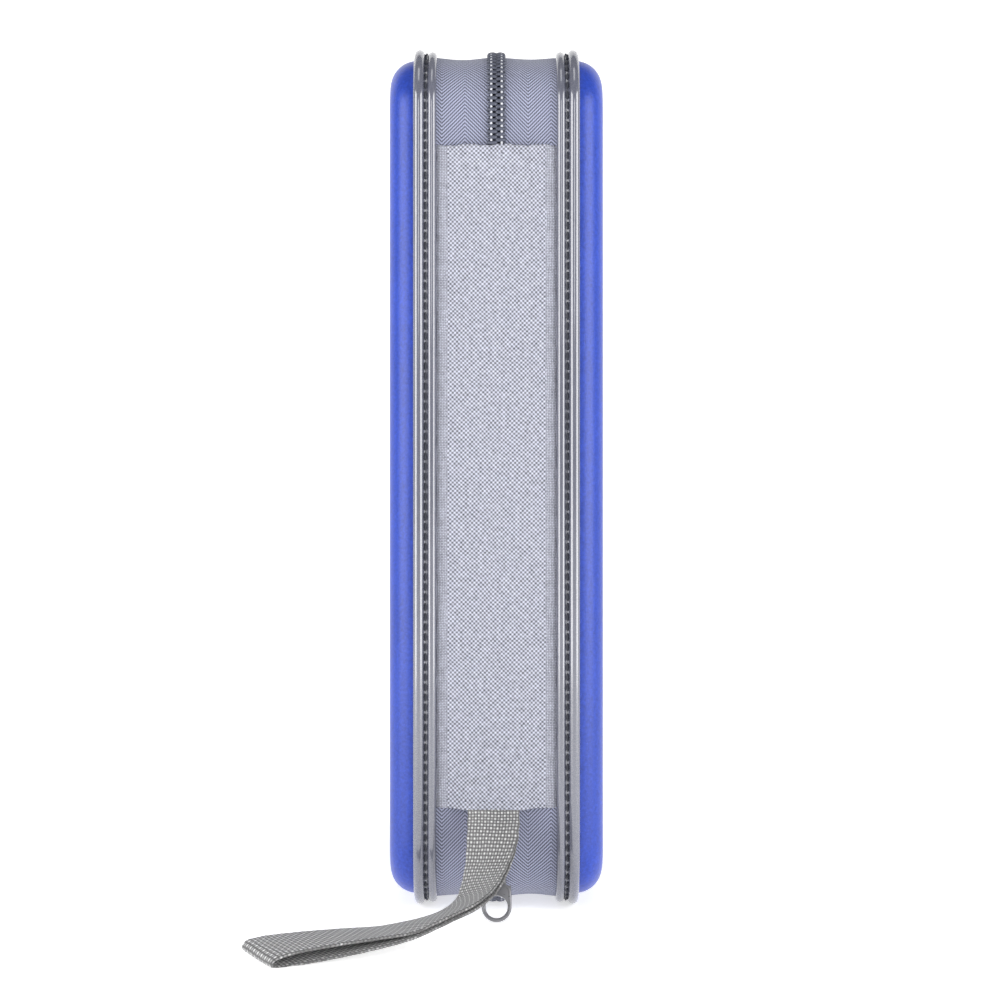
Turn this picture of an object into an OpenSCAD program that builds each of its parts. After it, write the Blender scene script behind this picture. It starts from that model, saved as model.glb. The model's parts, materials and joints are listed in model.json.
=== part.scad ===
// Zipped moulded carry case for a small telescope, standing on its short end.
// Frame: +Z up along the case's length, -Y out of the spine, X across the thickness.
// The origin is on the floor under the middle of the closed case.

/* [Case] */
// Length over the piping, floor to top
case_len = 271; // [240:1:290]
// Depth over the piping, spine to opening side
case_depth = 180; // [160:1:210]
// Thickness over the two moulded faces
case_thick = 67; // [60:1:80]
// Corner radius of the piping's outline
corner_r = 20; // [16:1:26]

/* [Shell] */
// Radius where the moulded face turns into the wall
face_fillet = 8.5; // [5:0.5:9]
// Thickness of the outer skin
skin_t = 0.7; // [0.4:0.1:1]
// Thickness of the foam core
core_t = 3; // [2:0.1:4]
// Thickness of the inner lining
lining_t = 0.5; // [0.3:0.1:0.8]

/* [Seam] */
// Width of one piping strip, across both beads
strip_w = 7.2; // [7:0.1:9]
// Radius of the bead next to the moulded shell
outer_bead_r = 1.7; // [1.4:0.1:2]
// Radius of the bead next to the zip tape
inner_bead_r = 1.45; // [1:0.05:1.5]
// Height of the outer bead above the tape
bead_proud = 2.4; // [2:0.1:3]
// Visible depth of each blue shell beside its piping
shell_show = 7.7; // [6.5:0.1:12]
// Diameter of the seam thread
thread_d = 0.7; // [0.4:0.1:1]

/* [Zip] */
// Thickness of the zip tape
tape_t = 0.9; // [0.6:0.1:1.1]
// Half the width of the closed coil
coil_half_w = 2.9; // [2.4:0.1:3.4]
// Height of the coil above the tape
coil_h = 1.7; // [1.2:0.1:1.9]
// Length of the slider's body
slider_len = 10.5; // [9:0.5:12]
// Width of the slider's body
slider_w = 8.6; // [7.6:0.2:10]
// Length of the pull, pivot to tip
pull_len = 19.6; // [18:0.1:22]
// Width of the pull's ring end
pull_w = 8.9; // [8:0.1:10]
// Radius of the hole in the pull
pull_hole_r = 3.4; // [2.5:0.1:3.7]

/* [Spine] */
// Length of the woven spine panel
panel_len = 205; // [180:1:210]
// Thickness of the spine panel
panel_t = 0.9; // [0.6:0.1:1.2]
// Thickness of the stiffener behind the panel
board_t = 1.2; // [0.8:0.1:1.6]

/* [Wrist strap] */
// Width of the webbing
strap_w = 16; // [12:1:17]
// Thickness of the webbing
strap_t = 1; // [0.8:0.1:1.1]

/* [Inside] */
// Diameter of the telescope that the foam takes
scope_d = 41; // [30:1:44]
// Length of the telescope that the foam takes
scope_len = 212; // [150:1:214]
// Diameter of the two eyepiece wells
eyepiece_d = 33; // [26:1:34]
// Thickness of the foam insert
insert_t = 24; // [18:1:24]
// Depth of the lid's net pocket
pocket_gap = 5; // [4.8:0.1:6]
// Height of the net pocket
pocket_len = 168; // [120:1:190]

/* [Hidden] */
$fn = 64;

// Glue line between bonded layers
glue = 0.05;
// Running gap between pieces that move past each other
gap = 0.3;

// The tape's outer face is the reference outline; u is measured outwards from it
tape_r = corner_r - bead_proud;
half_p = case_depth / 2 - bead_proud;
half_q = case_len / 2 - bead_proud;
corner_p = half_p - tape_r;
corner_q = half_q - tape_r;

// Heights through one half, from the zip's middle plane
face_h = case_thick / 2;
strip_out = face_h - shell_show;
strip_in = strip_out - strip_w;

// The shell's outline sits just inside the tape's inner face
skin_u = -tape_t - 0.1;
core_u = skin_u - skin_t - glue;
lining_u = core_u - core_t - glue;
inside_u = lining_u - lining_t;
inside_h = face_h - skin_t - core_t - lining_t - 2 * glue;
// Inner radius of the swept rim: the flat plate inside it closes the tray
rim_r = 6;

// The piping strip: web, two beads and a skirt over the shell's edge
web_u = 0.05;
web_t = 0.8;
outer_bead_h = strip_out - outer_bead_r;
inner_bead_h = strip_in + inner_bead_r;
outer_bead_u = bead_proud - outer_bead_r;
inner_bead_u = bead_proud - 0.6 - inner_bead_r;
groove_h = (outer_bead_h - outer_bead_r + inner_bead_h + inner_bead_r) / 2;

// The coil's halves stop short of the middle plane, which leaves the slider's divider its way
coil_in = 0.65;
coil_base_u = -tape_t;
tape_in = coil_half_w + 0.1;
tape_out = strip_out - 0.8;

// Spine: everything between the two hinge lines, from corner to corner
panel_half_w = strip_in - gap;
panel_u = -0.45;
board_u = panel_u - glue - board_t;
spine_lining_u = board_u - glue - lining_t;
spine_cut_q = half_q - 5.6;
panel_half_q = panel_len / 2;
seam_edge_half_q = panel_half_q;

// Slider and pull, on the corner's tangent point at the lower end of the spine
slider_q = -corner_q;
slider_top_u = coil_h + 0.4;
plate_t = 1;
chain_inner_r = tape_r - tape_t;
chain_sag = chain_inner_r - sqrt(pow(chain_inner_r, 2) - pow(slider_len / 2, 2));
slider_low_u = -tape_t - chain_sag - gap;
lip_w = 0.9;
divider_w = 0.7;
bridge_w = 2.4;
bridge_len = 7;
bridge_rise = 2.5;
bar_r = 0.55;
pivot_u = slider_top_u + plate_t + 1;
pivot_q = slider_q - 1.4;
pull_t = 1.1;
pull_arm_w = 1;
pull_rest = 20.8;

// Foam insert and its wells, in the plan of the lying case
insert_u = inside_u - gap;
insert_h = inside_h - gap;
insert_top = insert_h - insert_t;
insert_step = 3;
scope_p = 36;
eyepiece_p = -42;
eyepiece_depth = 17;
well_p = 44;
well_q = 84;
well_depth = 18;
eyepiece_q = [-88, -42];
well_mid_q = 48;

// Net pocket on the lid's lining
net_t = 0.7;
binding_w = 5;
elastic_w = 8;
pocket_p = case_depth - 46;
pocket_low_q = -corner_q + 2;
pocket_h = inside_h - gap;

// Wrist strap: [x, out from the spine's face, height] of the front layer's middle,
// then the direction of its width as [x, out, up], then the gap to the back layer
strap_route = [
    [[-0.9, 3.6, 32.7], [1, 0, 0], 0.1],
    [[-0.9, 4.6, 31.1], [1, 0.03, 0], 0.1],
    [[-1.1, 8.0, 28.1], [0.98, 0.2, 0.02], 0.2],
    [[-1.7, 11.4, 23.7], [0.93, 0.36, 0.06], 0.3],
    [[-3.2, 15.5, 17.7], [0.80, 0.58, 0.14], 0.3],
    [[-5.8, 22.4, 12.1], [0.70, 0.65, 0.28], 0.3],
    [[-8.7, 27.8, 9.9], [0.65, 0.68, 0.30], 0.3],
    [[-12.4, 32.6, 8.5], [0.65, 0.70, 0.28], 0.3],
    [[-17.3, 36.8, 7.4], [0.65, 0.72, 0.24], 0.3],
    [[-22.8, 40.9, 6.4], [0.67, 0.73, 0.16], 0.4],
    [[-29.4, 45.1, 5.4], [0.70, 0.71, 0.06], 0.6],
    [[-38.6, 50.2, 5.5], [0.70, 0.71, 0], 1.7],
    [[-49.2, 55.2, 5.4], [0.68, 0.73, -0.05], 2.5],
    [[-59.5, 59.3, 4.8], [0.63, 0.77, -0.10], 2.6],
    [[-64.3, 61.2, 4.0], [0.61, 0.78, -0.14], 2.1]
];
strap_tip = [-66.6, 62.4, 2.6];
// The route is laid out for a panel whose lower hem is this high, and stretches with it
strap_hem_z = 33;
strap_stretch = (case_len / 2 - panel_half_q) / strap_hem_z;
floor_gap = 0.15;

// ---------- shared shapes ----------

// Turns the lying case's plan, p and q with heights h, into the standing frame
module stand() {
    translate([0, 0, case_len / 2]) rotate(a = 120, v = [1, 1, 1]) children();
}

// Sweeps a profile of [radius from the corner's centre, height] round the whole outline
module rim() {
    for (side = [0, 1], across = [0, 180]) {
        reach = side == 0 ? corner_p : corner_q;
        run = side == 0 ? 2 * corner_q : 2 * corner_p;
        rotate([0, 0, 90 * side + across]) translate([reach, run / 2, 0])
            rotate([90, 0, 0]) linear_extrude(run) children();
    }
    for (sp = [-1, 1], sq = [-1, 1]) {
        turn = sp > 0 ? (sq > 0 ? 0 : 270) : (sq > 0 ? 90 : 180);
        translate([sp * corner_p, sq * corner_q, 0]) rotate([0, 0, turn])
            rotate_extrude(angle = 90) children();
    }
}

// A flat plate with the case's outline moved by u
module plate(u, low, high) {
    r = tape_r + u;
    translate([0, 0, low]) linear_extrude(high - low) union() {
        square([2 * corner_p, 2 * (corner_q + r)], center = true);
        square([2 * (corner_p + r), 2 * corner_q], center = true);
        for (sp = [-1, 1], sq = [-1, 1]) translate([sp * corner_p, sq * corner_q]) circle(r);
    }
}

// A strip of the rim's profile between two offsets and two heights
module band(u0, u1, h0, h1) {
    translate([tape_r + u0, h0]) square([u1 - u0, h1 - h0]);
}

// Quarter-rounded outline of a moulded tray's edge
module tray_edge(u, top, fillet, low) {
    out = tape_r + u;
    translate([rim_r, low]) square([out - fillet - rim_r, top - low]);
    translate([out - fillet - 0.01, low]) square([fillet + 0.01, top - fillet - low]);
    intersection() {
        translate([out - fillet, top - fillet]) circle(fillet);
        translate([out - fillet - 0.01, top - fillet - 0.01]) square(fillet + 0.02);
    }
}

// One layer of a moulded shell: a tray with a rounded edge, open towards the zip
module tray(u, top, fillet, t) {
    rim() difference() {
        tray_edge(u, top, fillet, strip_in + 0.2);
        tray_edge(u - t, top - t, max(fillet - t, 0.4), strip_in - 1);
    }
    plate(rim_r - tape_r, top - t, top);
}

module mirror_half(lid) {
    if (lid) mirror([1, 0, 0]) children();
    else children();
}

// The part of the outline between the hinge lines, from one corner's cut to the other's
module spine_zone(grow) {
    translate([-half_p - 10, -spine_cut_q - grow, -face_h])
        cube([10 + tape_r, 2 * (spine_cut_q + grow), 2 * face_h]);
}

// ---------- one half of the case ----------

module shell_skin() {
    tray(skin_u, face_h, face_fillet, skin_t);
}

module shell_core() {
    tray(core_u, face_h - skin_t - glue, face_fillet - skin_t, core_t);
}

module shell_lining() {
    fillet = max(face_fillet - skin_t - core_t, 1);
    tray(lining_u, face_h - skin_t - core_t - 2 * glue, fillet, lining_t);
}

module piping() {
    rim() {
        band(web_u, web_u + web_t, inner_bead_h, outer_bead_h);
        intersection() {
            union() {
                translate([tape_r + outer_bead_u, outer_bead_h]) circle(outer_bead_r);
                translate([tape_r + inner_bead_u, inner_bead_h]) circle(inner_bead_r);
            }
            band(web_u, bead_proud + 1, strip_in - 1, strip_out + 1);
        }
        band(skin_u + glue, web_u + web_t, strip_out - 0.7, strip_out);
    }
}

// The lockstitch thread that lies in the groove between the beads
module seam_thread() {
    rim() band(web_u + web_t + glue, web_u + web_t + glue + thread_d / 2,
        groove_h - thread_d / 2, groove_h + thread_d / 2);
}

// Edge of the spine panel that is sewn in under the piping
module spine_edge() {
    translate([-half_p, -seam_edge_half_q, strip_in + gap])
        cube([tape_t, 2 * seam_edge_half_q, tape_out - strip_in - gap]);
}

module zip_tape_ring(h_out) {
    rim() band(-tape_t, 0, tape_in, h_out);
}

module zip_coil_ring() {
    crown = coil_half_w - coil_in;
    rim() {
        band(coil_base_u, coil_h - crown / 2, coil_in, coil_half_w);
        intersection() {
            translate([tape_r + coil_h - crown / 2, coil_in + crown / 2]) circle(crown / 2);
            band(coil_h - crown / 2 - 0.01, coil_h + 1, 0, coil_half_w + 1);
        }
    }
}

// The tape behind the cut at each corner rides with the shell; under the piping it runs on
module half_zip_tape() {
    difference() {
        zip_tape_ring(tape_out);
        spine_zone(0);
    }
    for (s = [-1, 1]) intersection() {
        zip_tape_ring(tape_out);
        spine_zone(0.01);
        translate([0, s * (half_q + panel_half_q + gap) / 2, strip_in + gap + face_h])
            cube([case_depth, half_q - panel_half_q - gap, 2 * face_h], center = true);
    }
}

module half_zip_coil() {
    difference() {
        zip_coil_ring();
        spine_zone(0);
    }
}

// ---------- spine ----------

module spine_plate(u, t, half_w, half_len) {
    translate([-half_p - u - t, -half_len, -half_w]) cube([t, 2 * half_len, 2 * half_w]);
}

module spine_panel() {
    spine_plate(panel_u, panel_t, panel_half_w, panel_half_q);
}

module spine_board() {
    spine_plate(board_u, board_t, panel_half_w - 0.5, panel_half_q - 1);
}

module spine_lining() {
    spine_plate(spine_lining_u, lining_t, panel_half_w - 0.5, panel_half_q - 0.5);
}

// Two rows of thread that hold the hemmed ends of the panel
module hem_thread() {
    for (s = [-1, 1]) translate([-half_p - panel_u - panel_t - thread_d / 2 - glue,
        s * (panel_half_q - 2.6) - thread_d / 2, -panel_half_w + 1])
        cube([thread_d / 2, thread_d, 2 * panel_half_w - 2]);
}

// Chain left bare between the panel's end and the corner; s picks the end
module end_box(s) {
    low = panel_half_q + gap;
    high = spine_cut_q - gap;
    translate([-half_p - 10, s > 0 ? low : -high, -panel_half_w])
        cube([10 + tape_r, high - low, 2 * panel_half_w]);
}

module zip_end_tape(s) {
    for (lid = [0, 1]) mirror([0, 0, lid]) intersection() {
        zip_tape_ring(panel_half_w);
        end_box(s);
    }
}

module zip_end_coil(s) {
    for (lid = [0, 1]) mirror([0, 0, lid]) intersection() {
        zip_coil_ring();
        end_box(s);
    }
}

// Cross-wise stop clamped over the chain's end, behind the panel
module zip_stop(s) {
    stop_len = 2.4;
    translate([-half_p - spine_lining_u + glue, s * (panel_half_q - 6) - stop_len / 2, -coil_half_w])
        cube([1, stop_len, 2 * coil_half_w]);
}

// ---------- slider, in its own frame: x across, y up the chain, z out of the spine ----------

module at_slider() {
    translate([0, -half_p, case_len / 2 + slider_q]) rotate([90, 0, 0]) children();
}

// A plate that narrows towards the closed chain, as a slider's wings do
module slider_wing(low, t) {
    translate([0, 0, low]) linear_extrude(t) difference() {
        square([slider_w, slider_len], center = true);
        for (s = [-1, 1]) translate([s * slider_w / 2, -slider_len / 2]) rotate(45)
            square(1.6, center = true);
    }
}

module slider_body() {
    at_slider() {
        slider_wing(slider_top_u, plate_t);
        slider_wing(slider_low_u - plate_t, plate_t);
        for (s = [-1, 1]) translate([s * (slider_w - lip_w) / 2, 0.8, (slider_top_u + 0.6) / 2])
            cube([lip_w, slider_len - 1.6, slider_top_u - 0.6 + 0.02], center = true);
        translate([-divider_w / 2, slider_len / 2 - 3.4, slider_low_u - 0.01])
            cube([divider_w, 3, slider_top_u - slider_low_u + 0.02]);
    }
}

// Arch that holds the pull's bar
module slider_bridge() {
    window_h = pivot_u - slider_top_u - plate_t - glue + bar_r + gap;
    low = slider_top_u + plate_t + glue;
    at_slider() rotate([90, 0, 90]) translate([0, low, -bridge_w / 2])
        linear_extrude(bridge_w) difference() {
            translate([-bridge_len / 2, 0]) square([bridge_len, bridge_rise]);
            translate([-bridge_len / 2 + 1, -0.1]) square([bridge_len - 2, window_h + 0.1]);
        }
}

// Pull: a bar in the bridge, two arms and a long tab that ends in a ring
module slider_pull() {
    tip_r = pull_w / 2;
    neck_w = 5.6;
    translate([0, -half_p - pivot_u, case_len / 2 + pivot_q]) rotate([-pull_rest, 0, 0]) {
        rotate([0, 90, 0]) cylinder(r = bar_r, h = neck_w - 0.4, center = true);
        rotate([90, 0, 0]) translate([0, 0, -pull_t / 2]) linear_extrude(pull_t) difference() {
            union() {
                for (s = [-1, 1]) translate([s * (neck_w - pull_arm_w) / 2, -3])
                    square([pull_arm_w, 7], center = true);
                translate([-neck_w / 2, -pull_len + tip_r]) square([neck_w, pull_len - tip_r - 4.4]);
                translate([-tip_r, -pull_len + tip_r]) square([pull_w, 6.4]);
                translate([0, -pull_len + tip_r]) circle(tip_r);
            }
            translate([0, -pull_len + tip_r]) circle(pull_hole_r);
        }
    }
}

// ---------- wrist strap ----------

function unit(v) = v / norm(v);

// Route points are [x, out, up]; the frame's Y runs inwards
function to_frame(v) = [v[0], -v[1], v[2]];
function spot(v) = [v[0], -half_p - v[1], v[2] * strap_stretch];

strap_n = len(strap_route);
strap_mid = [for (s = strap_route) spot(s[0])];
strap_across = [for (s = strap_route) unit(to_frame(s[1]))];
strap_along = [for (i = [0 : strap_n - 1])
    unit(strap_mid[min(i + 1, strap_n - 1)] - strap_mid[max(i - 1, 0)])];
strap_face = [for (i = [0 : strap_n - 1]) unit(cross(strap_across[i], strap_along[i]))];

// Sections run out along the front layer, over the tip and back along the back layer
strap_front = [for (i = [0 : strap_n - 1]) [strap_mid[i], strap_across[i], strap_face[i]]];
strap_back = [for (i = [strap_n - 1 : -1 : 0])
    [strap_mid[i] + strap_face[i] * (strap_t + strap_route[i][2]), strap_across[i], -strap_face[i]]];
strap_turn = [[spot(strap_tip), strap_across[strap_n - 1], strap_along[strap_n - 1] * -1]];
strap_rings = concat(strap_front, strap_turn, strap_back);

function lifted(p) = [p[0], p[1], max(p[2], floor_gap)];

function strap_corners(ring) = [for (c = [[-1, -1], [1, -1], [1, 1], [-1, 1]])
    lifted(ring[0] + ring[1] * c[0] * strap_w / 2 + ring[2] * c[1] * strap_t / 2)];

module wrist_strap() {
    rings = len(strap_rings);
    points = [for (r = strap_rings) each strap_corners(r)];
    walls = [for (i = [0 : rings - 2], k = [0 : 3]) each [
        [4 * i + k, 4 * i + (k + 1) % 4, 4 * i + 4 + (k + 1) % 4],
        [4 * i + k, 4 * i + 4 + (k + 1) % 4, 4 * i + 4 + k]]];
    last = 4 * (rings - 1);
    ends = [[2, 1, 0], [3, 2, 0], [last, last + 1, last + 2], [last, last + 2, last + 3]];
    polyhedron(points = points, faces = concat(walls, ends), convexity = 10);
}

// Thread that ties the strap's two ends down to the tape, one tack on each side of the chain
module strap_bartack() {
    root = strap_route[0];
    tack_w = 3;
    high = root[0][1] - 1.5 * strap_t - root[2] - gap;
    for (s = [-1, 1])
        translate([root[0][0] + s * 5.4 - tack_w / 2, -half_p - high, root[0][2] * strap_stretch - 2.4])
        cube([tack_w, high - glue, 2]);
}

// ---------- inside ----------

module foam_insert() {
    difference() {
        union() {
            plate(insert_u, insert_top, insert_h - insert_step);
            plate(insert_u - insert_step, insert_h - insert_step, insert_h);
        }
        translate([scope_p, 0, insert_top]) rotate([90, 0, 0])
            cylinder(d = scope_d, h = scope_len, center = true);
        for (q = eyepiece_q) translate([eyepiece_p, q, insert_top - 1])
            cylinder(d = eyepiece_d, h = eyepiece_depth + 1);
        translate([eyepiece_p - well_p / 2, well_mid_q - well_q / 2, insert_top - 1])
            cube([well_p, well_q, well_depth + 1]);
    }
}

module pocket_outline(inset) {
    translate([inset - pocket_p / 2, pocket_low_q + inset]) square([pocket_p - 2 * inset, pocket_len]);
}

// Bound edge on three sides that stands the net off the lining
module pocket_binding() {
    translate([0, 0, pocket_h - pocket_gap]) linear_extrude(pocket_gap) difference() {
        translate([-pocket_p / 2, pocket_low_q]) square([pocket_p, pocket_len]);
        pocket_outline(binding_w);
    }
}

module net_pocket() {
    translate([0, 0, pocket_h - pocket_gap - glue - net_t]) linear_extrude(net_t)
        translate([-pocket_p / 2, pocket_low_q]) square([pocket_p, pocket_len - elastic_w - gap]);
}

module pocket_elastic() {
    translate([-pocket_p / 2, pocket_low_q + pocket_len - elastic_w, pocket_h - pocket_gap - glue - 1.2])
        cube([pocket_p, elastic_w, 1.2]);
}

// ---------- the nodes ----------

module in_half(lid, name) {
    mirror_half(lid) stand() {
        if (name == "skin") color("royalblue") shell_skin();
        if (name == "core") color("dimgray") shell_core();
        if (name == "lining") color("gray") shell_lining();
        if (name == "piping") color("slategray") piping();
        if (name == "seam_thread") color("silver") seam_thread();
        if (name == "spine_edge") color("lightsteelblue") spine_edge();
        if (name == "zip_tape") color("lightslategray") half_zip_tape();
        if (name == "zip_coil") color("slategray") half_zip_coil();
    }
}

for (name = ["skin", "core", "lining", "piping", "seam_thread", "spine_edge", "zip_tape", "zip_coil"]) {
    in_half(false, name);
    in_half(true, name);
}
color("lightsteelblue") stand() spine_panel();
color("dimgray") stand() spine_board();
color("gray") stand() spine_lining();
color("slategray") stand() hem_thread();  // spine_hem_thread
color("lightslategray") stand() zip_end_tape(-1);  // zip_end_tape_lower
color("lightslategray") stand() zip_end_tape(1);  // zip_end_tape_upper
color("slategray") stand() zip_end_coil(-1);  // zip_end_coil_lower
color("slategray") stand() zip_end_coil(1);  // zip_end_coil_upper
color("silver") stand() zip_stop(-1);  // zip_stop_lower
color("silver") stand() zip_stop(1);  // zip_stop_upper
color("gray") slider_body();
color("gray") slider_bridge();
color("gray") slider_pull();
color("darkgray") wrist_strap();
color("dimgray") strap_bartack();
color("darkslategray") stand() foam_insert();
color("dimgray") mirror([1, 0, 0]) stand() net_pocket();
color("dimgray") mirror([1, 0, 0]) stand() pocket_binding();
color("black") mirror([1, 0, 0]) stand() pocket_elastic();
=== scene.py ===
"""Looks for the zipped telescope carry case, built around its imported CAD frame."""
import json
import math

import bpy
import numpy as np
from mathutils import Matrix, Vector

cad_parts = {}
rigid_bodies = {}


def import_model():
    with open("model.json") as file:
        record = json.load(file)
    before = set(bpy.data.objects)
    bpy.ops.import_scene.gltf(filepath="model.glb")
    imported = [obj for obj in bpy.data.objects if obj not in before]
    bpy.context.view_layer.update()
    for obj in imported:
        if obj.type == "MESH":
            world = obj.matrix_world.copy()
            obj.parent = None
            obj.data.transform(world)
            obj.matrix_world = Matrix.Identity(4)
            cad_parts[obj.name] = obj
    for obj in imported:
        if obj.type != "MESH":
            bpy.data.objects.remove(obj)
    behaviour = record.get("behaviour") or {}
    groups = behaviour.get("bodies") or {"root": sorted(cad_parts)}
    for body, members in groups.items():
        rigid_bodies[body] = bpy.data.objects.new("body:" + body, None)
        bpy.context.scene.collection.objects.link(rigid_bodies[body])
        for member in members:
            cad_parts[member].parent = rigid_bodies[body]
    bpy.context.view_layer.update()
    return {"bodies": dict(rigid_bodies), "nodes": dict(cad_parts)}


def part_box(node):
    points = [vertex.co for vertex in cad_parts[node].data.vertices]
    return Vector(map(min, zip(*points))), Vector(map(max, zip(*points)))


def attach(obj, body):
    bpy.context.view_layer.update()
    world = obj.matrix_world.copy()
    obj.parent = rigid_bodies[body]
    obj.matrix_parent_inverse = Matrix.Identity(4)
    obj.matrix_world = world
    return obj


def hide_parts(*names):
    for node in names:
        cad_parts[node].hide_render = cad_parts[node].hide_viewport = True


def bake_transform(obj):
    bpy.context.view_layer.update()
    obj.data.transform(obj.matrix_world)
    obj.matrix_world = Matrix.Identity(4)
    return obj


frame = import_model()
NODES = frame["nodes"]

# Sizes in millimetres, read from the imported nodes
MM = 0.001


def box_mm(node):
    low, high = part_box(node)
    return np.array(low) / MM, np.array(high) / MM


PIPE_LO, PIPE_HI = box_mm("base_piping")
TAPE_LO, TAPE_HI = box_mm("base_zip_tape")
FACE_X = box_mm("base_skin")[1][0]
PANEL_LO, PANEL_HI = box_mm("spine_panel")
MID_Z = (TAPE_LO[2] + TAPE_HI[2]) / 2
HALF_Y = TAPE_HI[1]
HALF_Z = TAPE_HI[2] - MID_Z
PROUD = PIPE_HI[1] - HALF_Y
STRIP_IN = PIPE_LO[0]
STRIP_OUT = PIPE_HI[0]
PIPING_CORNER_R = 20
CORNER_R = PIPING_CORNER_R - PROUD
# Middle of the round corners, out from the case's middle
CY, CZ = HALF_Y - CORNER_R, HALF_Z - CORNER_R
# Radii of the beads beside the shell and beside the tape, and of the turn from wall to face
OUT_R, IN_R = 1.7, 1.45
FILLET_R = 8.5
GROOVE = (STRIP_OUT - 2 * OUT_R + STRIP_IN + 2 * IN_R) / 2
COIL_W = box_mm("base_zip_coil")[1][0]
EDGE_OUT = box_mm("base_spine_edge")[1][0]


# ---------- meshes ----------

def add_mesh(name, verts, faces, mat, uv=None):
    """A mesh object from points in millimetres; uv holds one pair a vertex, in millimetres."""
    me = bpy.data.meshes.new(name)
    me.from_pydata((np.asarray(verts, float) * MM).tolist(), [], [list(map(int, f)) for f in faces])
    if uv is not None:
        layer = me.uv_layers.new(name="UVMap")
        index = np.zeros(len(me.loops), np.int32)
        me.loops.foreach_get("vertex_index", index)
        layer.data.foreach_set("uv", (np.asarray(uv, float) * MM)[index].astype(np.float32).ravel())
    me.validate()
    me.update()
    me.polygons.foreach_set("use_smooth", [True] * len(me.polygons))
    me.materials.append(mat)
    ob = bpy.data.objects.new(name, me)
    bpy.context.scene.collection.objects.link(ob)
    return ob


def grid_faces(rows, cols, wrap=False, flip=False):
    """Quads of a rows by cols grid of vertices; wrap joins the last column to the first."""
    out = []
    for r in range(rows - 1):
        for c in range(cols if wrap else cols - 1):
            d = (c + 1) % cols
            q = (r * cols + c, r * cols + d, (r + 1) * cols + d, (r + 1) * cols + c)
            out.append(q[::-1] if flip else q)
    return out


def slab_faces(rows, cols, flip=False):
    """A closed cloth: an outer grid of vertices, then an inner one, joined round their edges."""
    n = rows * cols
    outer = grid_faces(rows, cols)
    out = outer + [[n + v for v in f][::-1] for f in outer]
    for k in range(cols - 1):
        top = n - cols + k
        out += [(k, n + k, n + k + 1, k + 1), (top, top + 1, n + top + 1, n + top)]
    for r in range(0, n - cols, cols):
        a, b = r + cols - 1, r + 2 * cols - 1
        out += [(r, r + cols, n + r + cols, n + r), (a, n + a, n + b, b)]
    return [f[::-1] for f in out] if flip else out


# The tape's outline in Y and Z: a line has its ends and its normal's degrees, an arc its middle
# and the degrees that it starts at
SEGMENTS = [
    ("line", (HALF_Y, 0), (HALF_Y, CZ), 0), ("arc", (CY, CZ), 0),
    ("line", (CY, HALF_Z), (-CY, HALF_Z), 90), ("arc", (-CY, CZ), 90),
    ("line", (-HALF_Y, CZ), (-HALF_Y, -CZ), 180), ("arc", (-CY, -CZ), 180),
    ("line", (-CY, -HALF_Z), (CY, -HALF_Z), 270), ("arc", (CY, -CZ), 270),
    ("line", (HALF_Y, -CZ), (HALF_Y, 0), 0),
]
LENGTHS = [math.dist(s[1], s[2]) if s[0] == "line" else CORNER_R * math.pi / 2 for s in SEGMENTS]
TOTAL = sum(LENGTHS)
SPINE_S = sum(LENGTHS[:4])


def at(s):
    """Point and outward normal, in Y and Z, at length s round the tape's outline from the back's middle."""
    s = s % TOTAL
    for seg, length in zip(SEGMENTS, LENGTHS):
        if s <= length + 1e-9:
            break
        s -= length
    if seg[0] == "line":
        a = math.radians(seg[3])
        t = s / length
        p = [seg[1][i] + (seg[2][i] - seg[1][i]) * t for i in (0, 1)]
    else:
        a = math.radians(seg[2] + 90 * s / length)
        p = [seg[1][0] + CORNER_R * math.cos(a), seg[1][1] + CORNER_R * math.sin(a)]
    return (p[0], p[1] + MID_Z), (math.cos(a), math.sin(a))


def spine_s(z):
    """Length round the outline at height z on the spine."""
    return SPINE_S + (CZ + MID_Z - z)


def stations(s0, s1, step=2.5):
    """Even lengths from s0 to s1, about a step apart."""
    return np.linspace(s0, s1, max(2, int(round((s1 - s0) / step)) + 1))


def place(s, u, h):
    """The point at length s, u millimetres out from the outline and h across the case."""
    (y, z), (ny, nz) = at(s)
    return (h, y + u * ny, z + u * nz)


def sweep(name, profile, side, stops, mat, wrap=False, lift=None):
    """Sweeps a profile of (u, h) points along the outline at the given lengths; side is 1 or -1."""
    verts, uv = [], []
    for s in stops:
        (y, z), (ny, nz) = at(s)
        for u, h in profile:
            if lift is not None:
                u = u + lift(s, h)
            verts.append((side * h, y + u * ny, z + u * nz))
            uv.append((-side * s, h))
    faces = grid_faces(len(stops), len(profile), wrap=wrap, flip=side < 0)
    return add_mesh(name, verts, faces, mat, uv)


# ---------- materials ----------

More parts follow.
